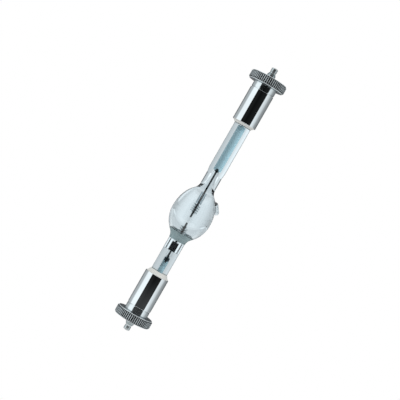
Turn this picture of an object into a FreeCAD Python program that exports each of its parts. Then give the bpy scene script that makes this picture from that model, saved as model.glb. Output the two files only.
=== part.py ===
"""Double-ended mercury short-arc lamp, in millimetres.

+Z runs along the lamp axis towards the long neck. The origin is on the axis, in the lower cap's seat plane,
where the knurled nut meets the collar.
"""
import FreeCAD, Part
import math
import os
from FreeCAD import Vector

# Metal caps, the same at both ends; heights are from the seat plane towards the bulb
cap_length = 26.5
shell_radius = 7.75
shell_wall = 0.55
rim_chamfer = 0.2
collar_radius = 7.6
collar_length = 3.6
collar_chamfer = 0.25
groove_width = 0.6
spigot_length = 4.4
spigot_gap = 0.02

# Stud on the cap body, from the seat plane outwards
thread_radius = 3.0
thread_length = 6.2
pilot_radius = 2.7
pilot_length = 1.2
taper_length = 1.5
waist_radius = 1.85
waist_length = 0.4
button_radius = 2.05
button_length = 2.2
button_dome = 0.7
dome_steps = 3

# Knurled nut
nut_radius = 12.0
nut_thickness = 5.3
nut_gap = 0.05
tooth_count = 60
tooth_depth = 0.45
rim_width = 0.55
rim_drop = 0.05
rim_bevel = 0.2

# Quartz envelope
glass_between_caps = 106.3
neck_insertion = 15.0
bulb_centre_above_rim = 41.9
bulb_radius = 13.0
bulb_upper_half = 19.0
bulb_lower_half = 16.1
bulb_wall = 1.7
waist_depth = 0.4
upper_waist_end = 28.6
upper_flare_length = 3.0
lower_blend = 6.6
upper_blend = 5.9
hollow_top_setback = 0.1
lower_bore_blend = 8.3
upper_bore_blend = 18.0
capillary_radius = 1.5
oval_steps = 5
blend_steps = 3
blend_halvings = 50

# Exhaust pip, the tipped-off stub of the filling tube, on the +X side; it leans downwards and gets narrower
pip_root_side = 9.3
pip_root_rise = 12.0
pip_root_radius = 2.5
pip_end_radius = 1.9
pip_length = 4.0
pip_lean = 136.0
pip_steps = 4

# Heat-reflecting coating round the foot of the bulb
coating_thickness = 0.1
coating_foot = 50.4
coating_length = 5.7

# Electrodes; heights are from the middle of the arc outwards
arc_below_bulb_centre = 3.15
arc_gap = 3.9
rod_radius = 0.58
rod_tip_bevel = 0.2
upper_bare_tip = 2.6
lower_bare_tip = 2.1
inner_wire = 0.85
inner_wire_gap = 0.02
inner_wire_sides = 6
coil_length = 6.3
outer_wire = 0.95
outer_pitch = 1.35
outer_setback = 0.45
outer_wire_sides = 6
steps_per_turn = 8

# Sleeves on the rods
sleeve_bore_gap = 0.06
upper_sleeve_radius = 1.85
upper_sleeve_length = 7.3
upper_sleeve_setback = 0.3
lower_sleeve_radius = 2.25
lower_sleeve_length = 5.6
lower_sleeve_from_arc = 15.95
lower_sleeve_gap = 1.35

# Seals: each rod is welded to a foil through a small tab, and each foil to an outer lead
upper_capillary_from_arc = 33.95
lower_capillary_length = 3.6
upper_foil_setback = 0.7
lower_foil_setback = 3.4
foil_width = 3.6
foil_thickness = 0.05
foil_corner = 0.5
upper_foil_cover = 17.1
lower_foil_cover = 3.5
upper_foil_turn = 180.0
lower_foil_turn = 50.0
tab_thickness = 0.12
tab_tip_width = 1.2
tab_widening = 1.3
upper_tab_width = 2.2
upper_tab_length = 2.4
lower_tab_width = 3.4
lower_tab_length = 4.3
weld_overlap = 1.0
lead_radius = 0.6
lead_overlap = 2.5
lead_bore_gap = 0.05
lead_bore_depth = 6.0

# Cement between neck and cap
upper_cement_layer = 1.74
lower_cement_layer = 1.86
upper_cement_rise = 1.5
lower_cement_rise = 2.5
cement_lip = 0.2

# Mercury
bead_radius = 0.9
bead_gap = 0.03
bead_steps = 6

# Heights that follow, above the lower seat plane
lower_rim = cap_length
upper_rim = lower_rim + glass_between_caps
upper_seat = upper_rim + cap_length
lower_quartz_end = lower_rim - neck_insertion
upper_quartz_end = upper_rim + neck_insertion
bulb_centre = lower_rim + bulb_centre_above_rim
arc_centre = bulb_centre - arc_below_bulb_centre
shell_foot = collar_length + groove_width
spigot_end = shell_foot + spigot_length
shell_bore = shell_radius - shell_wall
lower_neck_radius = shell_bore - lower_cement_layer
upper_neck_radius = shell_bore - upper_cement_layer
upper_waist_radius = upper_neck_radius - waist_depth

# Distances that follow, from the middle of the arc outwards
rod_tip = arc_gap / 2
lower_step = lower_sleeve_from_arc + lower_sleeve_length
lower_capillary_from_arc = lower_step + lower_capillary_length
upper_foil_start = upper_capillary_from_arc + upper_foil_setback
lower_foil_start = lower_capillary_from_arc + lower_foil_setback
upper_foil_end = upper_quartz_end - upper_foil_cover - arc_centre
lower_foil_end = arc_centre - lower_quartz_end - lower_foil_cover
upper_lead_end = upper_seat - spigot_end + lead_bore_depth - lead_bore_gap - arc_centre
lower_lead_end = arc_centre - spigot_end + lead_bore_depth - lead_bore_gap
lower_bore_radius = lower_sleeve_radius + lower_sleeve_gap

AXIS = Vector(0, 0, 1)
ORIGIN = Vector(0, 0, 0)


def on_profile(radius, height):
    """A point of a turned outline, in the XZ plane."""
    return Vector(radius, 0, height)


def turned(edges):
    """The solid that a closed outline in the XZ plane sweeps round the lamp axis."""
    outline = Part.Wire(Part.__sortEdges__(edges))
    return Part.Face(outline).revolve(ORIGIN, AXIS, 360)


def polygon_edges(points):
    """Straight edges through the points, in order, left open."""
    return [Part.makeLine(a, b) for a, b in zip(points, points[1:]) if a.distanceToPoint(b) > 1e-7]


def turned_polygon(points):
    """A turned solid whose outline is straight from point to point and closed."""
    return turned(polygon_edges(points + points[:1]))


def blend_place(radius, half, neck, blend):
    """Where an arc of radius blend leads from a neck into a bulb of half-ellipse section.

    It gives the angle on the ellipse, from its equator, and the arc centre's height above the equator.
    """
    low = 0.0
    high = math.pi / 2
    for _ in range(blend_halvings):
        angle = (low + high) / 2
        normal = Vector(math.cos(angle) / radius, 0, math.sin(angle) / half).normalize()
        centre = on_profile(radius * math.cos(angle), half * math.sin(angle)) + normal * blend
        if centre.x > neck + blend:
            low = angle
        else:
            high = angle
    return angle, centre.z


def arc_points(centre, across, along, start, end, steps):
    """Points on a round or oval stretch of a turned outline, from angle start to angle end in degrees."""
    points = []
    for i in range(steps + 1):
        angle = math.radians(start + (end - start) * i / steps)
        points.append(centre + on_profile(across * math.cos(angle), along * math.sin(angle)))
    return points


def half_bulb(radius, half, neck, blend, side):
    """Edges from the bulb's equator to the neck, and the point where the neck begins.

    side is 1 above the equator and -1 below it. Short cones stand for the oval and for the blend into the neck.
    """
    angle, height = blend_place(radius, half, neck, blend)
    oval = arc_points(on_profile(0, bulb_centre), radius, half * side, 0, math.degrees(angle), oval_steps)
    centre = on_profile(neck + blend, bulb_centre + side * height)
    turn = math.degrees(math.atan2(abs(centre.z - oval[-1].z), centre.x - oval[-1].x))
    curve = arc_points(centre, blend, blend, 180 + side * turn, 180, blend_steps)
    return polygon_edges(oval + curve[1:]), curve[-1]


def quartz_outside(skin=0.0):
    """The outer form of the blown envelope, grown outwards by skin."""
    radius = bulb_radius + skin
    lower, lower_foot = half_bulb(
        radius, bulb_lower_half + skin, lower_neck_radius + skin, lower_blend - skin, -1
    )
    upper, upper_foot = half_bulb(
        radius, bulb_upper_half + skin, upper_waist_radius + skin, upper_blend - skin, 1
    )
    flare_start = bulb_centre + upper_waist_end
    below = [
        lower_foot,
        on_profile(lower_neck_radius + skin, lower_quartz_end),
        on_profile(0, lower_quartz_end),
    ]
    above = [
        upper_foot,
        on_profile(upper_waist_radius + skin, flare_start),
        on_profile(upper_neck_radius + skin, flare_start + upper_flare_length),
        on_profile(upper_neck_radius + skin, upper_quartz_end),
        on_profile(0, upper_quartz_end),
    ]
    axis_line = polygon_edges([below[-1], above[-1]])
    return turned(lower + upper + polygon_edges(below) + polygon_edges(above) + axis_line)


def quartz_cavity():
    """The hollow of the bulb with the lower bore and both capillaries."""
    radius = bulb_radius - bulb_wall
    lower, lower_foot = half_bulb(
        radius, bulb_lower_half - bulb_wall, lower_bore_radius, lower_bore_blend, -1
    )
    upper, upper_foot = half_bulb(
        radius, bulb_upper_half - hollow_top_setback, capillary_radius, upper_bore_blend, 1
    )
    step = arc_centre - lower_step
    lower_end = arc_centre - lower_capillary_from_arc
    upper_end = arc_centre + upper_capillary_from_arc
    below = [
        lower_foot,
        on_profile(lower_bore_radius, step),
        on_profile(capillary_radius, step),
        on_profile(capillary_radius, lower_end),
        on_profile(0, lower_end),
    ]
    above = [
        upper_foot,
        on_profile(capillary_radius, upper_end),
        on_profile(0, upper_end),
    ]
    axis_line = polygon_edges([below[-1], above[-1]])
    return turned(lower + upper + polygon_edges(below) + polygon_edges(above) + axis_line)


def exhaust_pip():
    """The sealed stub of the exhaust tube: a short cone between two domes, the wider one rooted in the wall."""
    root = arc_points(ORIGIN, pip_root_radius, pip_root_radius, -90, 0, pip_steps)
    end = arc_points(on_profile(0, pip_length), pip_end_radius, pip_end_radius, 0, 90, pip_steps)
    pip = turned_polygon(root + end)
    pip.rotate(ORIGIN, Vector(0, 1, 0), pip_lean)
    pip.translate(on_profile(pip_root_side, bulb_centre + pip_root_rise))
    return pip


def quartz_envelope(embedded):
    """Bulb, necks and pip as one piece, with the hollow and the beds of what is fused into the seals."""
    envelope = quartz_outside().fuse(exhaust_pip()).cut(quartz_cavity())
    for piece in embedded:
        envelope = envelope.cut(piece)
    return envelope.removeSplitter()


def end_coating():
    """The thin opaque band fired on the outside of the bulb's foot."""
    slab = Part.makeCylinder(bulb_radius + coating_thickness, coating_length, on_profile(0, coating_foot))
    return quartz_outside(coating_thickness).common(slab).cut(quartz_outside())


def mercury_bead():
    """A drop of mercury behind the rod, lying on the end of the lower sleeve."""
    height = arc_centre - lower_sleeve_from_arc + bead_gap + bead_radius
    drop = turned_polygon(arc_points(ORIGIN, bead_radius, bead_radius, -90, 90, bead_steps))
    drop.translate(Vector(0, rod_radius + bead_gap + bead_radius, height))
    return drop


def electrode_rod(foil_start, tab_length):
    """A tungsten rod with a bevelled tip; its outer end is ground half round where it lies on the tab."""
    end = foil_start + weld_overlap
    rod = turned_polygon(
        [
            on_profile(0, rod_tip),
            on_profile(rod_radius - rod_tip_bevel, rod_tip),
            on_profile(rod_radius, rod_tip + rod_tip_bevel),
            on_profile(rod_radius, end),
            on_profile(0, end),
        ]
    )
    flat = Part.makeBox(
        2 * rod_radius, rod_radius, tab_length, Vector(-rod_radius, 0, end - tab_length)
    )
    return rod.cut(flat)


def wire_coil(bore, wire, pitch, start, length, sides):
    """A helix of round wire, lofted through its sections; bore is the radius that it is wound on.

    The section is a regular polygon with its corners on the wire's own circle.
    """
    mean = bore + wire / 2
    rise = length - wire
    turns = rise / pitch
    count = round(turns * steps_per_turn)
    corners = []
    for i in range(sides + 1):
        angle = 2 * math.pi * (i + 0.5) / sides
        corners.append(on_profile(mean + wire / 2 * math.cos(angle), wire / 2 * math.sin(angle)))
    section = Part.makePolygon(corners)
    sections = []
    for i in range(count + 1):
        share = i / count
        copy = section.copy()
        copy.rotate(ORIGIN, AXIS, 360 * turns * share)
        copy.translate(on_profile(0, start + wire / 2 + rise * share))
        sections.append(copy)
    return Part.makeLoft(sections, True, True)


def inner_coil(bare_tip):
    """The close first layer, wound straight on the rod."""
    bore = rod_radius + inner_wire_gap
    pitch = inner_wire + inner_wire_gap
    return wire_coil(bore, inner_wire, pitch, rod_tip + bare_tip, coil_length, inner_wire_sides)


def outer_coil(bare_tip):
    """The open second layer, wound on the first."""
    bore = rod_radius + inner_wire + 2 * inner_wire_gap
    start = rod_tip + bare_tip + outer_setback
    length = coil_length - outer_setback
    return wire_coil(bore, outer_wire, outer_pitch, start, length, outer_wire_sides)


def rod_sleeve(radius, start, length):
    """A short tube slipped over the rod."""
    bore = rod_radius + sleeve_bore_gap
    return turned_polygon(
        [
            on_profile(bore, start),
            on_profile(radius, start),
            on_profile(radius, start + length),
            on_profile(bore, start + length),
        ]
    )


def weld_tab(foil_start, width, length):
    """The small plate between rod and foil, which widens from the rod towards the foil."""
    end = foil_start + weld_overlap
    start = end - length
    half = width / 2
    outline = Part.makePolygon(
        [
            on_profile(-tab_tip_width / 2, start),
            on_profile(tab_tip_width / 2, start),
            on_profile(half, start + tab_widening),
            on_profile(half, end),
            on_profile(-half, end),
            on_profile(-half, start + tab_widening),
            on_profile(-tab_tip_width / 2, start),
        ]
    )
    return Part.Face(outline).extrude(Vector(0, tab_thickness, 0))


def sealing_foil(start, end):
    """The molybdenum foil that makes the gas-tight seal, with rounded corners at its outer end."""
    foil = Part.makeBox(
        foil_width,
        foil_thickness,
        end - start,
        Vector(-foil_width / 2, tab_thickness, start),
    )
    corners = []
    for edge in foil.Edges:
        place = edge.CenterOfMass
        if abs(place.z - end) < 1e-6 and abs(abs(place.x) - foil_width / 2) < 1e-6:
            corners.append(edge)
    return foil.makeFillet(foil_corner, corners)


def outer_lead(foil_end, lead_end):
    """The lead from the back of the foil, where it is ground half round, to the cap body's bore."""
    start = foil_end - lead_overlap
    back = tab_thickness + foil_thickness
    lead = Part.makeCylinder(lead_radius, lead_end - start, on_profile(0, start))
    flat = Part.makeBox(
        2 * lead_radius,
        lead_radius + back,
        lead_overlap,
        Vector(-lead_radius, -lead_radius, start),
    )
    return lead.cut(flat)


def cap_cement(neck_radius, rise):
    """The cement that fills the shell round the neck and stands a little out of its rim as a cone."""
    return turned_polygon(
        [
            on_profile(neck_radius, cap_length - neck_insertion),
            on_profile(shell_bore, cap_length - neck_insertion),
            on_profile(shell_bore, cap_length),
            on_profile(neck_radius + cement_lip, cap_length + rise),
            on_profile(neck_radius, cap_length + rise),
        ]
    )


def cap_shell():
    """The plated tube that holds the neck, with both outer edges broken."""
    return turned_polygon(
        [
            on_profile(shell_bore, shell_foot),
            on_profile(shell_radius - rim_chamfer, shell_foot),
            on_profile(shell_radius, shell_foot + rim_chamfer),
            on_profile(shell_radius, cap_length - rim_chamfer),
            on_profile(shell_radius - rim_chamfer, cap_length),
            on_profile(shell_bore, cap_length),
        ]
    )


def cap_body():
    """Collar, spigot and threaded stud, turned from one bar and bored for the lead."""
    spigot_radius = shell_bore - spigot_gap
    bore = lead_radius + lead_bore_gap
    thread_end = -thread_length
    pilot_end = thread_end - pilot_length
    waist_start = pilot_end - taper_length
    waist_end = waist_start - waist_length
    button_end = waist_end - button_length
    dome = arc_points(on_profile(0, button_end), button_radius, button_dome, -90, 0, dome_steps)
    return turned_polygon(
        dome
        + [
            on_profile(button_radius, waist_end - (button_radius - waist_radius)),
            on_profile(waist_radius, waist_end),
            on_profile(waist_radius, waist_start),
            on_profile(pilot_radius, pilot_end),
            on_profile(pilot_radius, thread_end),
            on_profile(thread_radius, thread_end + thread_radius - pilot_radius),
            on_profile(thread_radius, 0),
            on_profile(collar_radius - collar_chamfer, 0),
            on_profile(collar_radius, collar_chamfer),
            on_profile(collar_radius, collar_length),
            on_profile(spigot_radius, collar_length),
            on_profile(spigot_radius, spigot_end),
            on_profile(bore, spigot_end),
            on_profile(bore, spigot_end - lead_bore_depth),
            on_profile(0, spigot_end - lead_bore_depth),
        ]
    )


def knurled_nut():
    """A round nut with straight teeth between two plain rims, which are turned down below the tooth roots."""
    root = nut_radius - tooth_depth
    rim = root - rim_drop
    points = []
    for i in range(2 * tooth_count):
        radius = nut_radius if i % 2 else root
        angle = math.pi * i / tooth_count
        points.append(Vector(radius * math.cos(angle), radius * math.sin(angle), -rim_width))
    teeth = Part.Face(Part.makePolygon(points + points[:1])).extrude(
        Vector(0, 0, 2 * rim_width - nut_thickness)
    )
    rims = turned_polygon(
        [
            on_profile(0, 0),
            on_profile(rim - rim_bevel, 0),
            on_profile(rim, -rim_bevel),
            on_profile(rim, rim_bevel - nut_thickness),
            on_profile(rim - rim_bevel, -nut_thickness),
            on_profile(0, -nut_thickness),
        ]
    )
    bore = Part.makeCylinder(thread_radius + nut_gap, nut_thickness, on_profile(0, -nut_thickness))
    return teeth.fuse(rims).cut(bore)


def at_upper_cap(shape):
    """A piece of the lower cap, turned over to its place on the upper cap."""
    shape.rotate(on_profile(0, upper_seat / 2), Vector(1, 0, 0), 180)
    return shape


def at_upper_electrode(shape):
    """A piece built outwards from the arc, placed above it with its foil's own turn."""
    shape.rotate(ORIGIN, AXIS, upper_foil_turn)
    shape.translate(on_profile(0, arc_centre))
    return shape


def at_lower_electrode(shape):
    """A piece built outwards from the arc, turned over and placed below it with its foil's own turn."""
    shape.rotate(ORIGIN, Vector(1, 0, 0), 180)
    shape.rotate(ORIGIN, AXIS, lower_foil_turn)
    shape.translate(on_profile(0, arc_centre))
    return shape


coil_end = rod_tip + upper_bare_tip + coil_length
ends = {
    "upper": {
        "cap": at_upper_cap,
        "electrode": at_upper_electrode,
        "bare_tip": upper_bare_tip,
        "sleeve": (upper_sleeve_radius, coil_end + upper_sleeve_setback, upper_sleeve_length),
        "tab": (upper_foil_start, upper_tab_width, upper_tab_length),
        "foil": (upper_foil_start, upper_foil_end),
        "lead": (upper_foil_end, upper_lead_end),
        "cement": (upper_neck_radius, upper_cement_rise),
    },
    "lower": {
        "cap": lambda shape: shape,
        "electrode": at_lower_electrode,
        "bare_tip": lower_bare_tip,
        "sleeve": (lower_sleeve_radius, lower_sleeve_from_arc, lower_sleeve_length),
        "tab": (lower_foil_start, lower_tab_width, lower_tab_length),
        "foil": (lower_foil_start, lower_foil_end),
        "lead": (lower_foil_end, lower_lead_end),
        "cement": (lower_neck_radius, lower_cement_rise),
    },
}

pieces = {}
embedded = []
for name, end in ends.items():
    electrode = end["electrode"]
    cap = end["cap"]
    rod = electrode(electrode_rod(end["foil"][0], end["tab"][2]))
    tab = electrode(weld_tab(*end["tab"]))
    foil = electrode(sealing_foil(*end["foil"]))
    lead = electrode(outer_lead(*end["lead"]))
    embedded += [rod, tab, foil, lead]
    pieces[name + "_electrode_rod"] = rod
    pieces[name + "_inner_coil"] = electrode(inner_coil(end["bare_tip"]))
    pieces[name + "_outer_coil"] = electrode(outer_coil(end["bare_tip"]))
    pieces[name + "_rod_sleeve"] = electrode(rod_sleeve(*end["sleeve"]))
    pieces[name + "_weld_tab"] = tab
    pieces[name + "_foil"] = foil
    pieces[name + "_lead"] = lead
    pieces[name + "_cement"] = cap(cap_cement(*end["cement"]))
    pieces[name + "_cap_shell"] = cap(cap_shell())
    pieces[name + "_cap_body"] = cap(cap_body())
    pieces[name + "_nut"] = cap(knurled_nut())

pieces["quartz_envelope"] = quartz_envelope(embedded)
pieces["end_coating"] = end_coating()
pieces["mercury_bead"] = mercury_bead()

os.makedirs("parts", exist_ok=True)
for name, shape in pieces.items():
    solids = len(shape.Solids)
    print(f"{name}: {solids} solid, {shape.Volume:.2f} mm3, valid {shape.isValid()}")
    shape.exportStep(f"parts/{name}.step")
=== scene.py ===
"""Looks of a double-ended mercury arc lamp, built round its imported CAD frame, in metres."""
import bpy, math
from mathutils import Matrix, Vector


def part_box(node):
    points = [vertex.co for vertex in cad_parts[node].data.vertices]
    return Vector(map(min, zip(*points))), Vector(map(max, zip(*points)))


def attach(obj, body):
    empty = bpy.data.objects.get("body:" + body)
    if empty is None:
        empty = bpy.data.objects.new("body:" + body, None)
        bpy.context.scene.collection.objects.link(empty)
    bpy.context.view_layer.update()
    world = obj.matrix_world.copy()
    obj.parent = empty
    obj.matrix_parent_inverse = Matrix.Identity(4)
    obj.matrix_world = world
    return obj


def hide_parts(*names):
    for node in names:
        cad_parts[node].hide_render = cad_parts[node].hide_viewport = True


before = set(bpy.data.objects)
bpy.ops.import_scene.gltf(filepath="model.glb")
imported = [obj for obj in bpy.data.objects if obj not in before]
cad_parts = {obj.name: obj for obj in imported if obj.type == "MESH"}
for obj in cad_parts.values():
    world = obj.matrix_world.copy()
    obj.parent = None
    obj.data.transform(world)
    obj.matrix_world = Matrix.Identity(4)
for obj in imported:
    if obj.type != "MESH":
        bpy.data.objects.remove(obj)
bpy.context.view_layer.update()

# Camera. It stands two thirds of a metre in front of the lamp, level with the bulb's upper end, and is
# rolled so that the upright lamp leans to the right in the picture.
camera_distance = 0.667
camera_height = 0.0895
aim_height = 0.0792
aim_side = -0.0001
camera_lens = 98.4
camera_roll = math.radians(29.81)
look_down = math.atan2(camera_height - aim_height, camera_distance)

bpy.ops.object.camera_add(location=(aim_side, -camera_distance, camera_height))
camera = bpy.context.object
camera.name = "camera"
camera.data.lens = camera_lens
camera.data.clip_start = 0.01
turn = Matrix.Rotation(math.pi / 2 - look_down, 4, "X") @ Matrix.Rotation(camera_roll, 4, "Z")
camera.rotation_euler = turn.to_euler()
bpy.context.scene.camera = camera
bpy.context.scene.view_settings.view_transform = "Standard"


# Studio. A wide pale floor lies far below the lamp, whose shadow fades out on it, before plain white.
# Materials are written as sums: Value wraps one socket of a material's nodes, and new_finish gives a
# Principled shader whose sockets take plain numbers or such Values.
floor_height = -0.45
floor_radius = 4.0
shadow_radius = 0.28
fade_radius = 0.45
diffuse_dimming = 0.35
white_through_glass = 0.74
glass_tint = (0.93, 1.03, 1.08)
metal_tint = (0.93, 1.0, 1.03)


class Value:
    """A socket of a material. Sums on it add Math nodes, and node() adds any other node beside it."""

    def __init__(self, socket):
        self.socket = socket

    def node(self, kind, settings, inputs, output=0):
        """Add a node, set its settings, then fill or link its inputs, and give one of its outputs."""
        tree = self.socket.id_data
        made = tree.nodes.new(kind)
        for name, setting in settings.items():
            if name == "stops":
                ramp = made.color_ramp.elements
                while len(ramp) < len(setting):
                    ramp.new(0.5)
                for element, (place, colour) in zip(ramp, setting):
                    element.position = place
                    element.color = colour
            else:
                setattr(made, name, setting)
        for name, value in inputs.items():
            if isinstance(value, Value):
                tree.links.new(value.socket, made.inputs[name])
            else:
                made.inputs[name].default_value = value
        return Value(made.outputs[output])

    def math(self, operation, *others):
        """A Math node that takes self and the others in turn."""
        return self.node("ShaderNodeMath", {"operation": operation}, dict(enumerate((self, *others))))

    def __add__(self, other):
        return self.math("ADD", other)

    def __sub__(self, other):
        return self.math("SUBTRACT", other)

    def __rsub__(self, other):
        return self.node("ShaderNodeMath", {"operation": "SUBTRACT"}, {0: other, 1: self})

    def __mul__(self, other):
        return self.math("MULTIPLY", other)

    def __truediv__(self, other):
        return self.math("DIVIDE", other)

    __radd__ = __add__
    __rmul__ = __mul__

    def between(self, low, high):
        """0 below low, 1 above high and a soft step between them."""
        return self.node(
            "ShaderNodeMapRange",
            {"interpolation_type": "SMOOTHSTEP"},
            {"Value": self, "From Min": low, "From Max": high},
        )

    def noise(self, scale, detail=2.0, stretch=(1, 1, 1)):
        """Noise from 0 to 1 about 0.5 at the vector self; stretch widens its grain along an axis."""
        squeezed = self.node("ShaderNodeVectorMath", {"operation": "DIVIDE"}, {0: self, 1: stretch})
        inputs = {"Vector": squeezed, "Scale": scale, "Detail": detail}
        return self.node("ShaderNodeTexNoise", {}, inputs)

    def mixed(self, low, high):
        """The colour low where self is 0 and high where it is 1."""
        inputs = {"Factor": self, 6: (*low, 1), 7: (*high, 1)}
        return self.node("ShaderNodeMix", {"data_type": "RGBA"}, inputs, 2)

    def scaled(self, factor):
        """A colour made darker or lighter."""
        return self.node("ShaderNodeVectorMath", {"operation": "SCALE"}, {0: self, "Scale": factor})

    def bump(self, strength, height):
        """A normal for a surface that rises by self times height, in metres."""
        inputs = {"Strength": strength, "Distance": height, "Height": self}
        return self.node("ShaderNodeBump", {}, inputs)


def new_finish(name):
    """A material, its Object coordinates as a Value, and a function that sets its shader's sockets."""
    material = bpy.data.materials.new(name)
    material.use_nodes = True
    shader = material.node_tree.nodes["Principled BSDF"]
    place = Value(material.node_tree.nodes.new("ShaderNodeTexCoord").outputs["Object"])

    def set_shader(**sockets):
        for socket, value in sockets.items():
            target = shader.inputs[socket.replace("_", " ")]
            if isinstance(value, Value):
                material.node_tree.links.new(value.socket, target)
            else:
                target.default_value = value

    return material, place, set_shader


def split(place):
    """The X, Y and Z of a vector Value."""
    parts = place.node("ShaderNodeSeparateXYZ", {}, {0: place}).socket.node
    return [Value(parts.outputs[axis]) for axis in "XYZ"]


def from_axis(place):
    """How far a point is from the lamp's axis."""
    x, y, _ = split(place)
    return (x * x + y * y).math("SQRT")


def ray(place, kind):
    """1 for rays of this kind and 0 for all others."""
    return place.node("ShaderNodeLightPath", {}, {}, f"Is {kind} Ray")


def glowing(place, colour, strength):
    """A shader that glows."""
    return place.node("ShaderNodeEmission", {}, {"Color": colour, "Strength": strength})


def show(material, shader):
    """Make a shader the material's surface."""
    output = material.node_tree.nodes["Material Output"]
    material.node_tree.links.new(shader.socket, output.inputs["Surface"])


def show_by(material, mask, shader):
    """Show the material's own shader where the mask is 0 and the given one where it is 1."""
    own = Value(material.node_tree.nodes["Principled BSDF"].outputs[0])
    show(material, own.node("ShaderNodeMixShader", {}, {0: mask, 1: own, 2: shader}))


bpy.ops.object.select_all(action="DESELECT")
bpy.ops.mesh.primitive_circle_add(
    vertices=96, radius=floor_radius, fill_type="NGON", location=(0, 0, floor_height)
)
floor = bpy.context.object
floor.name = "floor"
pale_floor, place, set_shader = new_finish("pale floor")
set_shader(Base_Color=(0.86, 0.86, 0.86, 1), Roughness=0.9)
through = ray(place, "Transmission")
seen = (ray(place, "Camera") + ray(place, "Glossy") + through).math("MINIMUM", 1.0)
far = from_axis(place).between(shadow_radius, fade_radius)
white = through.mixed((1, 1, 1), glass_tint)
show_by(pale_floor, seen * far, glowing(place, white, 1 - through * (1 - white_through_glass)))
floor.data.materials.append(pale_floor)

world = bpy.data.worlds.new("white studio")
bpy.context.scene.world = world
world.use_nodes = True
sky = world.node_tree.nodes["Background"]
backdrop = Value(sky.outputs["Background"])
through = ray(backdrop, "Transmission")
dimmed = ray(backdrop, "Diffuse") * diffuse_dimming + through * (1 - white_through_glass)
world.node_tree.links.new(through.mixed((1, 1, 1), glass_tint).socket, sky.inputs["Color"])
world.node_tree.links.new((1 - dimmed).socket, sky.inputs["Strength"])

# Two soft lamps at the sides light the matt pieces. Metal and glass don't show them.
soft_lamp_place = (0.9, -0.7, 0.5)
soft_lamp_target = (0, 0, 0.08)
for end, side, power in (("left", -1, 5.0), ("right", 1, 4.0)):
    x, y, z = soft_lamp_place
    bpy.ops.object.light_add(type="AREA", location=(side * x, y, z))
    soft_lamp = bpy.context.object
    soft_lamp.name = "soft_lamp_" + end
    soft_lamp.data.shape = "RECTANGLE"
    soft_lamp.data.size = 0.5
    soft_lamp.data.size_y = 1.0
    soft_lamp.data.energy = power
    soft_lamp.visible_glossy = False
    soft_lamp.visible_transmission = False
    aim = Vector(soft_lamp_target) - soft_lamp.location
    soft_lamp.rotation_euler = aim.to_track_quat("-Z", "Y").to_euler()


# Tent. A round tent of cloth panels stands about the lamp and shows only in its metal and glass: a black
# panel in front, white ones beside it, grey ones at the sides and a dark one behind. Seen through glass it
# has other tones, and each stretch of the lamp its own ones behind it, from the heights in glass_panels up.
# Panels are pairs of (angle in degrees, tone), and the camera looks in at angle 0.
tent_radius = 1.2
tent_low = -0.44
tent_high = 1.2
hem_top = -0.09
hem_bottom = -0.15
hem_tone = 0.045
metal_panels = [
    (-180, 0.10), (-150, 0.18), (-124, 0.48), (-100, 0.50), (-86, 1.10), (-42, 1.12),
    (-40, 0.010), (-20, 0.014), (0, 0.006), (30, 0.012), (55, 0.014), (57, 0.98),
    (68, 0.92), (78, 0.80), (88, 0.72), (100, 0.42), (120, 0.31), (146, 0.21),
    (160, 0.10), (180, 0.10),
]
neck_panels = [
    (-180, 0.66), (-165, 0.70), (-155, 0.78), (-140, 0.98), (-122, 0.95), (-112, 0.34),
    (-104, 0.30), (-96, 0.58), (96, 0.58), (104, 0.30), (110, 0.36), (118, 0.54),
    (150, 0.58), (180, 0.66),
]
low_neck_panels = [
    (-180, 0.62), (-158, 0.60), (-140, 0.72), (-122, 0.70), (-112, 0.40), (-104, 0.36),
    (-96, 0.58), (96, 0.58), (104, 0.36), (118, 0.54), (150, 0.58), (180, 0.62),
]
bore_panels = [
    (-180, 0.72), (-171, 0.72), (-167, 1.05), (-150, 1.05), (-142, 0.12), (-104, 0.12),
    (-96, 0.50), (-60, 0.30), (60, 0.30), (96, 0.50), (104, 0.12), (142, 0.12),
    (150, 1.05), (167, 1.05), (171, 0.72), (180, 0.72),
]
bulb_panels = [
    (-180, 0.66), (-178, 0.86), (-175, 0.80), (-168, 0.66), (-155, 0.50), (-135, 0.48),
    (-90, 0.60), (90, 0.60), (135, 0.46), (155, 0.48), (168, 0.60), (175, 0.74),
    (178, 0.86), (180, 0.66),
]
capillary_panels = [
    (-180, 0.72), (-172, 0.72), (-169, 1.15), (-160, 1.10), (-154, 0.66), (-140, 0.80),
    (-134, 0.68), (-128, 0.10), (-100, 0.10), (-92, 0.60), (92, 0.60), (100, 0.10),
    (128, 0.10), (134, 0.52), (154, 0.58), (160, 1.10), (169, 1.15), (172, 0.72),
    (180, 0.72),
]
glass_panels = [
    (0.0437, bore_panels),
    (0.0504, bulb_panels),
    (0.0880, capillary_panels),
    (0.0992, neck_panels),
]
seam = 0.003

bpy.ops.mesh.primitive_cylinder_add(
    vertices=96,
    radius=tent_radius,
    depth=tent_high - tent_low,
    end_fill_type="NOTHING",
    location=(0, 0, (tent_low + tent_high) / 2),
)
tent = bpy.context.object
tent.name = "tent"
bpy.ops.object.transform_apply(location=True)
tent_cloth, place, set_shader = new_finish("tent cloth")
x, y, z = split(place)
azimuth = x.math("ARCTAN2", 0 - y) / math.tau + 0.5


def round_tent(tones):
    """A tone that changes round the tent, from (angle, tone) pairs."""
    stops = [((angle + 180) / 360, (tone, tone, tone, 1)) for angle, tone in tones]
    return azimuth.node("ShaderNodeValToRGB", {"stops": stops}, {"Fac": azimuth})


def behind(height):
    """The height on the tent that is seen from the camera past a height on the lamp."""
    return camera_height + (height - camera_height) * (1 + tent_radius / camera_distance)


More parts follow.
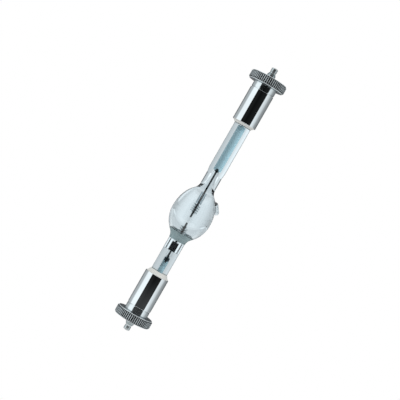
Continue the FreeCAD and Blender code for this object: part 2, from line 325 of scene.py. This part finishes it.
tone_through = round_tent(low_neck_panels)
for foot, tones in glass_panels:
    above = z.between(behind(foot) - seam, behind(foot) + seam)
    tone_through = tone_through + (round_tent(tones) - tone_through) * above
through = ray(place, "Transmission")
hem = (0 - z).between(-hem_top, -hem_bottom) * hem_tone
tone = (round_tent(metal_panels) + hem) * (1 - through) + tone_through * through
show(tent_cloth, glowing(place, through.mixed(metal_tint, glass_tint), tone))
tent.data.materials.append(tent_cloth)
tent.visible_camera = False
tent.visible_diffuse = False
tent.visible_shadow = False


# Cap shells. Each is a short thin-walled tube of bright nickel-plated brass, cemented over the neck. Both
# of its edges are broken, and faint turning marks lie under the plate.
shell_wall = 0.00055
shell_edge = 0.00018
turning_steps = 128


def chain(points):
    """An object whose mesh is one chain of edges through (radius, height) points, in the XZ plane."""
    bpy.ops.object.select_all(action="DESELECT")
    bpy.ops.mesh.primitive_plane_add(size=0.001, enter_editmode=True, location=(0, 0, 0))
    bpy.ops.mesh.merge(type="CENTER")
    bpy.ops.transform.translate(value=(points[0][0], 0, points[0][1]))
    for start, end in zip(points, points[1:]):
        step = (end[0] - start[0], 0, end[1] - start[1])
        bpy.ops.mesh.extrude_region_move(TRANSFORM_OT_translate={"value": step})
    bpy.ops.object.mode_set(mode="OBJECT")
    return bpy.context.object


def pick(piece):
    """Select this object alone and make it the active one."""
    bpy.ops.object.select_all(action="DESELECT")
    bpy.context.view_layer.objects.active = piece
    piece.select_set(True)


def apply(piece, kind, **settings):
    """Add a modifier with these settings and apply it."""
    modifier = piece.modifiers.new(kind.lower(), kind)
    for name, value in settings.items():
        setattr(modifier, name, value)
    pick(piece)
    bpy.ops.object.modifier_apply(modifier=modifier.name)


def clean(piece, gap=1e-6):
    """Merge doubled points, and turn all faces outwards."""
    pick(piece)
    bpy.ops.object.mode_set(mode="EDIT")
    bpy.ops.mesh.select_all(action="SELECT")
    bpy.ops.mesh.remove_doubles(threshold=gap)
    bpy.ops.mesh.normals_make_consistent(inside=False)
    bpy.ops.object.mode_set(mode="OBJECT")


def turned(name, outline, steps=turning_steps, edge=0.0, smooth=35):
    """A piece turned from an outline of (radius, height) points, with bevels of the width edge."""
    piece = chain(outline)
    piece.name = name
    apply(
        piece,
        "SCREW",
        angle=math.tau,
        steps=steps,
        render_steps=steps,
        use_merge_vertices=True,
        merge_threshold=1e-6,
    )
    clean(piece)
    if edge:
        apply(piece, "BEVEL", width=edge, segments=3, limit_method="ANGLE", angle_limit=math.radians(30))
    bpy.ops.object.shade_smooth_by_angle(angle=math.radians(smooth))
    if edge:
        apply(piece, "WEIGHTED_NORMAL", keep_sharp=True, weight=100)
    return piece


def copied(piece, name):
    """A copy with its own mesh."""
    twin = piece.copy()
    twin.data = piece.data.copy()
    twin.name = name
    bpy.context.collection.objects.link(twin)
    return twin


def turned_over(piece, name, middle):
    """A copy turned upside down about the height middle, for the other end of the lamp."""
    twin = copied(piece, name)
    twin.data.transform(Matrix.Translation((0, 0, 2 * middle)) @ Matrix.Rotation(math.pi, 4, "X"))
    return twin


def coat(piece, material):
    """Give a piece this finish alone."""
    piece.data.materials.clear()
    piece.data.materials.append(material)


def dress(piece, material, body, slot, *nodes):
    """Give a piece its finish and its body, and hide the CAD nodes that it stands for. slot is not used."""
    coat(piece, material)
    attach(piece, body)
    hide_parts(*nodes)


nickel, place, set_shader = new_finish("bright nickel plate")
smear = place.noise(220, 3, (1, 1, 2.5))
drawn = place.noise(2600, 2, (1, 1, 60))
set_shader(
    Base_Color=smear.between(0.35, 0.7).mixed((0.80, 0.82, 0.83), (0.84, 0.87, 0.885)),
    Metallic=1.0,
    Roughness=0.04 + smear * 0.05,
    Normal=drawn.bump(0.10, 0.00002),
)

low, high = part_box("lower_cap_shell")
shell_radius = high.x
shell_bore = shell_radius - shell_wall
outline = [
    (shell_bore, low.z),
    (shell_radius, low.z),
    (shell_radius, high.z),
    (shell_bore, high.z),
    (shell_bore, low.z),
]
lower_shell = turned("lower_shell_plated", outline, edge=shell_edge)
lamp_middle = (low.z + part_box("upper_cap_shell")[1].z) / 2
upper_shell = turned_over(lower_shell, "upper_shell_plated", lamp_middle)
dress(lower_shell, nickel, "lamp", "nickel_plate", "lower_cap_shell")
dress(upper_shell, nickel, "lamp", "nickel_plate", "upper_cap_shell")


# Cap bodies. Collar, spigot and stud are turned from one bar and plated. The stud has an M6 thread, a plain
# pilot and a waisted tip, and it is bored from inside for the lead.
collar_radius = 0.0076
collar_length = 0.0036
collar_chamfer = 0.00025
spigot_gap = 0.00002
spigot_radius = shell_bore - spigot_gap
spigot_end = 0.0086
lead_bore = 0.00065
lead_bore_end = 0.0026
core_radius = 0.0023
thread_radius = 0.003
thread_root = 0.00239
thread_pitch = 0.001
thread_turns = 8
thread_end = -0.0062
thread_start = 0.0004
lead_in_radius = 0.004
lead_in_top = 0.001
lead_in_slack = 0.0003
thread_lap = 0.00002
core_step = 0.0001
pilot_radius = 0.0027
pilot_end = -0.0074
waist_radius = 0.00185
waist_start = -0.0089
waist_end = -0.0093
button_radius = 0.00205
button_start = -0.0095
button_end = -0.0115
dome_height = 0.0007
dome_steps = 8

thread = chain(
    [
        (thread_root, 0),
        (thread_radius, thread_pitch * 5 / 16),
        (thread_radius, thread_pitch * 7 / 16),
        (thread_root, thread_pitch * 3 / 4),
        (thread_root, thread_pitch),
    ]
)
thread.name = "thread"
apply(
    thread,
    "SCREW",
    angle=math.tau,
    screw_offset=thread_pitch,
    iterations=thread_turns,
    steps=64,
    render_steps=64,
)
bpy.ops.object.mode_set(mode="EDIT")
bpy.ops.mesh.select_all(action="SELECT")
bpy.ops.mesh.remove_doubles(threshold=1e-6)
bpy.ops.transform.translate(value=(0, 0, thread_end - thread_pitch))
bpy.ops.mesh.select_all(action="SELECT")
bpy.ops.mesh.bisect(plane_co=(0, 0, thread_end), plane_no=(0, 0, 1), use_fill=True, clear_inner=True)
bpy.ops.mesh.select_all(action="SELECT")
bpy.ops.mesh.bisect(plane_co=(0, 0, thread_start), plane_no=(0, 0, 1), use_fill=True, clear_outer=True)
bpy.ops.object.mode_set(mode="OBJECT")
clean(thread)

lead_in = turned(
    "lead_in",
    [
        (0, lead_in_top),
        (lead_in_radius, lead_in_top),
        (lead_in_radius, thread_end + lead_in_top + lead_in_slack),
        (pilot_radius, thread_end),
        (0, thread_end),
    ],
    64,
)
apply(thread, "BOOLEAN", operation="INTERSECT", object=lead_in, solver="EXACT")
bpy.data.objects.remove(lead_in)

dome = []
for i in range(dome_steps + 1):
    angle = math.pi / 2 * i / dome_steps
    dome.append((button_radius * math.sin(angle), button_end - dome_height * math.cos(angle)))
outline = dome + [
    (button_radius, button_start),
    (waist_radius, waist_end),
    (waist_radius, waist_start),
    (pilot_radius, pilot_end),
    (pilot_radius, thread_end - thread_lap),
    (core_radius, thread_end + core_step),
    (core_radius, 0),
    (collar_radius - collar_chamfer, 0),
    (collar_radius, collar_chamfer),
    (collar_radius, collar_length),
    (spigot_radius, collar_length),
    (spigot_radius, spigot_end),
    (lead_bore, spigot_end),
    (lead_bore, lead_bore_end),
    (0, lead_bore_end),
]
lower_body = turned("lower_stud_plated", outline, 96)
apply(lower_body, "BOOLEAN", operation="UNION", object=thread, solver="EXACT")
bpy.data.objects.remove(thread)
clean(lower_body)
bpy.ops.object.shade_smooth_by_angle(angle=math.radians(30))
upper_body = turned_over(lower_body, "upper_stud_plated", lamp_middle)

# The finish changes in soft steps, each over a span of distances from the axis.
groove_root = (0.00215, 0.0023)
groove_mouth = (0.0024, 0.00285)
collar_seat = (0.0060, 0.0066)
tip_shade_fade = 0.0004

stud_plate, place, set_shader = new_finish("satin nickel on the stud")
smear = place.noise(400, 3)
marks = place.noise(12000, 1, (60, 60, 1))
radius = from_axis(place)
height = split(place)[2] - lamp_middle
end_gap = height.math("ABSOLUTE")
tip = end_gap.between(lamp_middle - thread_end, lamp_middle - thread_end + tip_shade_fade)
# Painted shade: the thread's grooves, and the stud's end beyond the thread (tip), are painted darker; smear
# is random tone.
thread_shade = (1 - radius.between(*groove_mouth)) * radius.between(*groove_root) * 0.8
smear_and_painted_shade = (smear * 0.3 + thread_shade + tip * 0.45).math("MINIMUM", 1.0)
collar = radius.between(*collar_seat)
set_shader(
    Base_Color=smear_and_painted_shade.mixed((0.86, 0.89, 0.90), (0.28, 0.33, 0.34)),
    Metallic=1.0 - tip * 0.1,
    Roughness=0.16 + smear * 0.16 - collar * 0.12,
    Normal=(marks * (1 - collar)).bump(0.2, 0.00002),
)
dress(lower_body, stud_plate, "lamp", "nickel_plate", "lower_cap_body")
dress(upper_body, stud_plate, "lamp", "nickel_plate", "upper_cap_body")


# Knurled nuts. Each is a round brass nut, plated, with straight knurling between two plain rims, which are
# turned down to the roots of the teeth. The roots are painted black as shade, and the crests and rims near
# white as a painted highlight.
tooth_count = 60
tooth_points = 6
nut_radius = 0.012
root_radius = 0.01155
rim_radius = 0.0115
rim_width = 0.00055
rim_chamfer = 0.0002
root_step = 0.00005
tooth_slope = 0.00025
nut_bore = 0.00305
bore_chamfer = 0.0003

low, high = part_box("lower_nut")
knurl_profile = [0, 0.15, 0.85, 1, 0.85, 0.15]
rings = [
    (nut_bore, nut_bore, low.z + bore_chamfer),
    (nut_bore + bore_chamfer, nut_bore + bore_chamfer, low.z),
    (rim_radius - rim_chamfer, rim_radius - rim_chamfer, low.z),
    (rim_radius, rim_radius, low.z + rim_chamfer),
    (rim_radius, rim_radius, low.z + rim_width - root_step),
    (root_radius, rim_radius + root_step, low.z + rim_width),
    (root_radius, nut_radius, low.z + rim_width + tooth_slope),
    (root_radius, nut_radius, high.z - rim_width - tooth_slope),
    (root_radius, rim_radius + root_step, high.z - rim_width),
    (rim_radius, rim_radius, high.z - rim_width + root_step),
    (rim_radius, rim_radius, high.z - rim_chamfer),
    (rim_radius - rim_chamfer, rim_radius - rim_chamfer, high.z),
    (nut_bore + bore_chamfer, nut_bore + bore_chamfer, high.z),
    (nut_bore, nut_bore, high.z - bore_chamfer),
    (nut_bore, nut_bore, low.z + bore_chamfer),
]
around = tooth_count * tooth_points
bpy.ops.object.select_all(action="DESELECT")
bpy.ops.mesh.primitive_circle_add(vertices=around, radius=1, location=(0, 0, 0))
lower_nut = bpy.context.object
lower_nut.name = "lower_nut_knurled"
bpy.ops.object.mode_set(mode="EDIT")
for _ in rings[1:]:
    bpy.ops.mesh.extrude_edges_move()
bpy.ops.object.mode_set(mode="OBJECT")
for i, point in enumerate(lower_nut.data.vertices):
    root, crest, height = rings[i // around]
    share = knurl_profile[i % tooth_points]
    radius = root + (crest - root) * share
    point.co = (*(point.co.xy.normalized() * radius), height)
clean(lower_nut)
bpy.ops.object.shade_smooth_by_angle(angle=math.radians(25))
upper_nut = turned_over(lower_nut, "upper_nut_knurled", lamp_middle)

# Here too the finish changes over spans of distances from the axis, and the rims over spans of heights.
crest_start = (root_radius + 0.00034, nut_radius - 0.00002)
inner_rim = (lamp_middle + 0.0003, lamp_middle + 0.0005)
outer_rim = (lamp_middle + 0.0048, lamp_middle + 0.0050)
rim_start = (0.0110, 0.0114)
side_start = (0.0111, 0.0113)

knurl_plate, place, set_shader = new_finish("knurled nickel plate")
radius = from_axis(place)
smear = place.noise(500, 3)
crest = radius.between(*crest_start)
seat_gap = (split(place)[2] - lamp_middle).math("ABSOLUTE")
rim = 1 - seat_gap.between(*inner_rim) * (1 - seat_gap.between(*outer_rim))
# Painted light: bright marks the crests and rims, painted near white as a highlight; the roots are painted
# black as shade.
bright = (crest + rim * radius.between(*rim_start) * 0.75).math("MINIMUM", 1.0)
side = radius.between(*side_start)
highlight_and_root_shade = bright.mixed((0.004, 0.006, 0.007), (0.86, 0.93, 0.96))
faces_and_side = {"Factor": side, 6: (0.50, 0.54, 0.56, 1), 7: highlight_and_root_shade}
plain = place.node("ShaderNodeMix", {"data_type": "RGBA"}, faces_and_side, 2)
set_shader(
    Base_Color=plain.scaled(0.8 + smear * 0.4),
    Metallic=(bright * 0.8).math("MAXIMUM", 1 - side),
    Roughness=0.22 + side * (0.5 - bright * 0.5) + smear * 0.1,
    Specular_IOR_Level=0.05,
    Normal=place.noise(6000, 2).bump(0.10, 0.00002),
)
dress(lower_nut, knurl_plate, "lower_knurled_nut", "knurled_nickel", "lower_nut")
dress(upper_nut, knurl_plate, "upper_knurled_nut", "knurled_nickel", "upper_nut")


# Cement. A white ceramic cement holds each neck in its shell and stands out of the rim as a cone, smoothed by
# hand while it was wet.
cement_paste, place, set_shader = new_finish("off-white cement")
grain = place.noise(2600, 4)
stain = place.noise(260, 2)
pale = stain.between(0.3, 0.75) * 0.7 + grain * 0.3
set_shader(
    Base_Color=pale.mixed((0.62, 0.64, 0.62), (0.72, 0.72, 0.69)),
    Roughness=0.75 + grain * 0.2,
    Normal=(grain + stain * 3).bump(0.5, 0.00006),
)
for name in ("lower_cement", "upper_cement"):
    coat(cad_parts[name], cement_paste)


# Quartz envelope. Bulb, both necks and the sealed stub of the filling tube are one piece of blown quartz,
# thick walled round the arc and solid over the foils, with faint tooling rings and streaks.
bulb_centre = 0.0684
bulb_radius = 0.013
bulb_wall = 0.0017
upper_half = 0.019
lower_half = 0.0161
lower_neck = 0.00534
upper_neck = 0.00546
upper_waist = 0.00506
waist_top = 0.097
flare_length = 0.003
lower_blend = 0.0066
upper_blend = 0.0059
lower_bore = 0.0036
lower_bore_blend = 0.0083
hollow_upper_half = 0.0189
capillary = 0.0015
capillary_blend = 0.018
lower_step = 0.0437
lower_capillary_end = 0.0401
upper_capillary_end = 0.0992
holding_ring = 0.0004
glass_steps = 160
oval_steps = 36
blend_steps = 16
pip_root = (0.0093, 0.0804)
pip_root_radius = 0.0025
pip_end_radius = 0.0019
pip_length = 0.004
pip_lean = math.radians(136)
pip_reach = 0.0034
pip_bore = 0.001
pip_bore_start = 0.0011
pip_bore_end = 0.0038


def half_bulb(radius, half, neck, blend, side):
    """Points from the bulb's widest ring to a neck: a half oval and the arc that leads into the neck.

    side is 1 for the upper half and -1 for the lower one. A last ring just along the neck keeps its long
    straight wall from being shaded as part of the bend.
    """
    low, high = 0.0, math.pi / 2
    for _ in range(40):
        angle = (low + high) / 2
        normal = Vector((math.cos(angle) / radius, math.sin(angle) / half)).normalized()
        centre = Vector((radius * math.cos(angle), half * math.sin(angle))) + normal * blend
        if centre.x > neck + blend:
            low = angle
        else:
            high = angle
    points = []
    for i in range(oval_steps + 1):
        share = angle * i / oval_steps
        points.append((radius * math.cos(share), bulb_centre + side * half * math.sin(share)))
    lean = math.atan2(normal.y, normal.x)
    for i in range(1, blend_steps + 1):
        share = lean * (1 - i / blend_steps)
        radius_here = centre.x - blend * math.cos(share)
        points.append((radius_here, bulb_centre + side * (centre.y - blend * math.sin(share))))
    points.append((neck, points[-1][1] + side * holding_ring))
    return points


def envelope_outline(radius, halves, necks, blends, below, above):
    """The outline of a turned form round the bulb, from its lowest point on the axis to its highest."""
    lower = half_bulb(radius, halves[0], necks[0], blends[0], -1)
    upper = half_bulb(radius, halves[1], necks[1], blends[1], 1)
    return below + lower[::-1] + upper[1:] + above


neck_low, neck_high = (box.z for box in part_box("quartz_envelope"))
outside = turned(
    "quartz_glass",
    envelope_outline(
        bulb_radius,
        (lower_half, upper_half),
        (lower_neck, upper_waist),
        (lower_blend, upper_blend),
        [(0, neck_low), (lower_neck, neck_low)],
        [
            (upper_waist, waist_top - holding_ring),
            (upper_waist, waist_top),
            (upper_neck, waist_top + flare_length),
            (upper_neck, waist_top + flare_length + holding_ring),
            (upper_neck, neck_high),
            (0, neck_high),
        ],
    ),
    glass_steps,
)


def stub(name, start, start_radius, end, end_radius, steps=12):
    """A turned stub with a dome at each end, about the dome centres start and end."""
    outline = []
    for i in range(steps + 1):
        angle = math.pi / 2 * (i / steps - 1)
        outline.append((start_radius * math.cos(angle), start + start_radius * math.sin(angle)))
    for i in range(steps + 1):
        angle = math.pi / 2 * i / steps
        outline.append((end_radius * math.cos(angle), end + end_radius * math.sin(angle)))
    outline[0] = (0, start - start_radius)
    outline[-1] = (0, end + end_radius)
    return turned(name, outline, 48)


pip = stub("pip", 0, pip_root_radius, pip_length, pip_end_radius)
pip_place = Matrix.Translation((pip_root[0], 0, pip_root[1])) @ Matrix.Rotation(pip_lean, 4, "Y")
pip.data.transform(pip_place)
apply(outside, "BOOLEAN", operation="UNION", object=pip, solver="EXACT")
bpy.data.objects.remove(pip)
clean(outside, 1e-5)
pip_middle = pip_place @ Vector((0, 0, pip_length / 2))
bpy.ops.object.mode_set(mode="EDIT")
bpy.ops.mesh.select_mode(type="VERT")
bpy.ops.mesh.select_all(action="DESELECT")
bpy.ops.object.mode_set(mode="OBJECT")
for vertex in outside.data.vertices:
    vertex.select = (vertex.co - pip_middle).length < pip_reach
bpy.ops.object.mode_set(mode="EDIT")
bpy.ops.mesh.vertices_smooth(factor=0.5, repeat=4)
bpy.ops.object.mode_set(mode="OBJECT")
bpy.ops.object.shade_smooth_by_angle(angle=math.radians(50))

hollow = turned(
    "hollow",
    envelope_outline(
        bulb_radius - bulb_wall,
        (lower_half - bulb_wall, hollow_upper_half),
        (lower_bore, capillary),
        (lower_bore_blend, capillary_blend),
        [
            (0, lower_capillary_end),
            (capillary, lower_capillary_end),
            (capillary, lower_step),
            (lower_bore, lower_step),
        ],
        [(capillary, upper_capillary_end), (0, upper_capillary_end)],
    ),
    glass_steps,
)
closed_bore = stub("closed_bore", pip_bore_start, pip_bore, pip_bore_end, pip_bore)
closed_bore.data.transform(pip_place)
for void in (hollow, closed_bore):
    pick(void)
    bpy.ops.object.mode_set(mode="EDIT")
    bpy.ops.mesh.select_all(action="SELECT")
    bpy.ops.mesh.flip_normals()
    bpy.ops.object.mode_set(mode="OBJECT")
hollow.select_set(True)
outside.select_set(True)
bpy.context.view_layer.objects.active = outside
bpy.ops.object.join()

quartz, place, set_shader = new_finish("clear blown quartz")
streak = place.noise(160, 2, (1, 1, 12))
ring_marks = place.noise(420, 1, (8, 8, 1))
haze = place.noise(900, 3)
set_shader(
    Base_Color=streak.mixed((0.945, 0.97, 0.98), (0.97, 0.985, 0.99)),
    Roughness=haze * 0.02,
    IOR=1.458,
    Transmission_Weight=1.0,
    Normal=(streak + ring_marks * 0.4).bump(0.10, 0.0001),
)
clear = place.node("ShaderNodeBsdfTransparent", {}, {"Color": (0.9, 0.93, 0.95, 1)})
show_by(quartz, ray(place, "Shadow"), clear)
dress(outside, quartz, "lamp", "clear_quartz", "quartz_envelope")


# Reflector coating. A dull metallic band is fired on the outside of the bulb's foot, where it keeps the lower
# electrode's end warm.
coating_low = 0.0504
coating_high = 0.0561
coating_skin = 0.0001
coating_sink = 0.00002


def on_glass(offset):
    """Points on the bulb's lower outside between the coating's edges, moved outwards by offset."""
    half = lower_half + offset
    points = half_bulb(bulb_radius + offset, half, lower_neck + offset, lower_blend - offset, -1)
    return [point for point in points if coating_low < point[1] < coating_high][::-1]


skin = on_glass(coating_skin)
inner = on_glass(-coating_sink)
coating = turned("coating_fired", skin + inner[::-1] + skin[:1], glass_steps)
fired, place, set_shader = new_finish("fired platinum coating")
cloud = place.noise(350, 3, (1, 1, 1.6))
speck = place.noise(2600, 2)
pale = (cloud * 0.7 + speck * 0.3).between(0.3, 0.7)
set_shader(
    Base_Color=pale.mixed((0.22, 0.31, 0.33), (0.31, 0.40, 0.415)),
    Metallic=0.6,
    Roughness=0.45 + speck * 0.2,
    Normal=speck.bump(0.25, 0.00003),
)
dress(coating, fired, "lamp", "reflector_coating", "end_coating")


# Electrodes. Each is a drawn tungsten rod with two layers of tungsten wire wound on it near its tip, a close
# one and an open one, which throw off the rod's heat.
rod_radius = 0.00058
tip_round = 0.00025
inner_wire = 0.00085
inner_pitch = 0.00087
outer_wire = 0.00095
outer_pitch = 0.00135
wire_gap = 0.00002
wire_sides = 14
wire_steps = 36
coil_flank = (0.0004, 0.0011)
coil_edge = (0.0018, 0.0023)

tungsten, place, set_shader = new_finish("drawn tungsten")
drawn = place.noise(3000, 2, (1, 1, 12))
soot = place.noise(700, 2)
aside = split(place)[0].math("ABSOLUTE")
# The wire is painted near black in the middle as shade and near white towards the left and right as a
# highlight, less bright again at its far sides; soot is random tone.
painted_side_highlight = aside.between(*coil_flank) * (1 - aside.between(*coil_edge) * 0.6)
set_shader(
    Base_Color=painted_side_highlight.mixed((0.05, 0.06, 0.065), (0.90, 0.94, 0.95)).scaled(0.8 + soot * 0.3),
    Metallic=1.0,
    Roughness=0.16 + drawn * 0.16,
    Normal=drawn.bump(0.2, 0.00002),
)
dark_tungsten, place, set_shader = new_finish("blackened tungsten rod")
drawn = place.noise(3000, 2, (1, 1, 12))
set_shader(
    Base_Color=drawn.mixed((0.010, 0.014, 0.016), (0.030, 0.038, 0.040)),
    Metallic=0.8,
    Roughness=0.35 + drawn * 0.2,
    Normal=drawn.bump(0.2, 0.00002),
)


def wound(name, bore, wire, pitch, start, end):
    """A helix of round wire between two heights, wound upwards on the radius bore, with closed ends."""
    bpy.ops.object.select_all(action="DESELECT")
    bpy.ops.mesh.primitive_circle_add(
        vertices=wire_sides,
        radius=wire / 2,
        fill_type="NGON",
        location=(bore + wire / 2, 0, start + wire / 2),
        rotation=(math.pi / 2, 0, 0),
    )
    bpy.ops.object.transform_apply()
    coil = bpy.context.object
    coil.name = name
    rise = end - start - wire
    turns = rise / pitch
    steps = round(turns * wire_steps)
    apply(coil, "SCREW", angle=math.tau * turns, screw_offset=rise, steps=steps, render_steps=steps)
    bpy.ops.object.mode_set(mode="EDIT")
    bpy.ops.mesh.select_all(action="SELECT")
    bpy.ops.mesh.remove_doubles(threshold=1e-7)
    bpy.ops.mesh.select_all(action="DESELECT")
    bpy.ops.mesh.select_non_manifold()
    bpy.ops.mesh.fill_holes(sides=0)
    bpy.ops.mesh.select_all(action="SELECT")
    bpy.ops.mesh.normals_make_consistent(inside=False)
    bpy.ops.object.mode_set(mode="OBJECT")
    bpy.ops.object.shade_smooth_by_angle(angle=math.radians(50))
    return coil


for end in ("upper", "lower"):
    for layer, bore, wire, pitch in (
        ("inner", rod_radius + wire_gap, inner_wire, inner_pitch),
        ("outer", rod_radius + 2 * wire_gap + inner_wire, outer_wire, outer_pitch),
    ):
        node = f"{end}_{layer}_coil"
        low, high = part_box(node)
        coil = wound(node + "_wire", bore, wire, pitch, low.z, high.z)
        dress(coil, tungsten, "lamp", "tungsten", node)

for end in ("upper", "lower"):
    node = f"{end}_electrode_rod"
    low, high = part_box(node)
    tip, tail = (low.z, high.z) if end == "upper" else (high.z, low.z)
    inwards = 1 if end == "upper" else -1
    rod = turned(
        node + "_drawn",
        [
            (0, tip),
            (rod_radius - tip_round, tip),
            (rod_radius - tip_round * 0.3, tip + inwards * tip_round * 0.3),
            (rod_radius, tip + inwards * tip_round),
            (rod_radius, tail),
            (0, tail),
        ],
        32,
    )
    dress(rod, dark_tungsten, "lamp", "tungsten", node)


# Sleeves. A short tube of milky quartz steadies the upper rod in the bulb's mouth, and a black one the lower
# rod in its bore.
milky, place, set_shader = new_finish("milky quartz tube")
cloud = place.noise(700, 3, (1, 1, 4))
set_shader(
    Base_Color=cloud.mixed((0.48, 0.56, 0.60), (0.64, 0.71, 0.75)),
    Roughness=0.08 + cloud * 0.12,
    IOR=1.458,
    Transmission_Weight=1.0,
    Normal=cloud.bump(0.15, 0.00004),
)
soot_black, place, set_shader = new_finish("black sleeve")
speck = place.noise(3000, 3)
set_shader(
    Base_Color=speck.mixed((0.003, 0.004, 0.006), (0.010, 0.013, 0.016)),
    Roughness=0.6 + speck * 0.2,
    Specular_IOR_Level=0.15,
    Normal=speck.bump(0.3, 0.00003),
)
sleeve_bore = 0.00064
sleeve_edge = 0.00012
sleeves = (("upper", milky, "sleeve_quartz"), ("lower", soot_black, "black_sleeve"))
for end, finish, slot in sleeves:
    node = f"{end}_rod_sleeve"
    low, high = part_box(node)
    sleeve = turned(
        node + "_tube",
        [
            (sleeve_bore, low.z),
            (high.x, low.z),
            (high.x, high.z),
            (sleeve_bore, high.z),
            (sleeve_bore, low.z),
        ],
        64,
        edge=sleeve_edge,
    )
    dress(sleeve, finish, "lamp", slot, node)


# Seals. A ribbon of molybdenum foil lies in the solid quartz of each neck, welded to the rod through a small
# tab and to an outer lead that runs into the cap.
foil_lit_side = (-0.0008, 0.0019)
etched_start = (0.0324, 0.0332)
bare_start = (0.0387, 0.0391)
lower_seal_end = (0.05, 0.06)

molybdenum, place, set_shader = new_finish("rolled molybdenum foil")
rolled = place.noise(900, 3, (1, 1, 25))
cloud = place.noise(180, 3, (1, 1, 2))
x, _, z = split(place)
lit_side = x.between(*foil_lit_side)
etched = z.between(*etched_start) * (1 - z.between(*lower_seal_end)) * 0.8
pale = (rolled * 0.4 + cloud * 0.6).between(0.2, 0.8)
plain = pale.mixed((0.315, 0.46, 0.51), (0.345, 0.49, 0.54))
set_shader(
    Base_Color=plain.scaled(1.05 + lit_side * 0.95 - etched * 0.4),
    Metallic=0.3,
    Roughness=0.35 + rolled * 0.2,
    Normal=rolled.bump(0.1, 0.00002),
)
weld_metal, place, set_shader = new_finish("welded molybdenum tab")
z = split(place)[2]
cloud = place.noise(900, 3)
bare = z.between(*bare_start) * (1 - z.between(*lower_seal_end))
set_shader(
    Base_Color=bare.mixed((0.035, 0.06, 0.075), (0.40, 0.47, 0.50)).scaled(0.7 + cloud * 0.6),
    Metallic=0.3,
    Roughness=0.4 + cloud * 0.2,
)
for end in ("upper", "lower"):
    for piece, finish in (("foil", molybdenum), ("lead", molybdenum), ("weld_tab", weld_metal)):
        coat(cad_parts[f"{end}_{piece}"], finish)


# Mercury. A bright liquid drop has run down behind the lower rod and lies on the black sleeve's end, a
# little flattened by its own weight.
drop_flattening = 0.93

liquid, place, set_shader = new_finish("liquid mercury")
film = place.noise(900, 2)
set_shader(
    Base_Color=film.mixed((0.72, 0.73, 0.74), (0.80, 0.81, 0.82)),
    Metallic=1.0,
    Roughness=0.02 + film * 0.05,
)
low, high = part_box("mercury_bead")
bpy.ops.object.select_all(action="DESELECT")
bpy.ops.mesh.primitive_ico_sphere_add(
    subdivisions=5, radius=(high.z - low.z) / 2, location=(low + high) / 2
)
bead = bpy.context.object
bead.name = "mercury_drop"
bpy.ops.object.transform_apply()
bpy.ops.object.mode_set(mode="EDIT")
bpy.ops.transform.resize(
    value=(1, 1, drop_flattening), center_override=(0, (low.y + high.y) / 2, low.z)
)
bpy.ops.object.mode_set(mode="OBJECT")
bpy.ops.object.shade_smooth()
dress(bead, liquid, "lamp", "mercury", "mercury_bead")
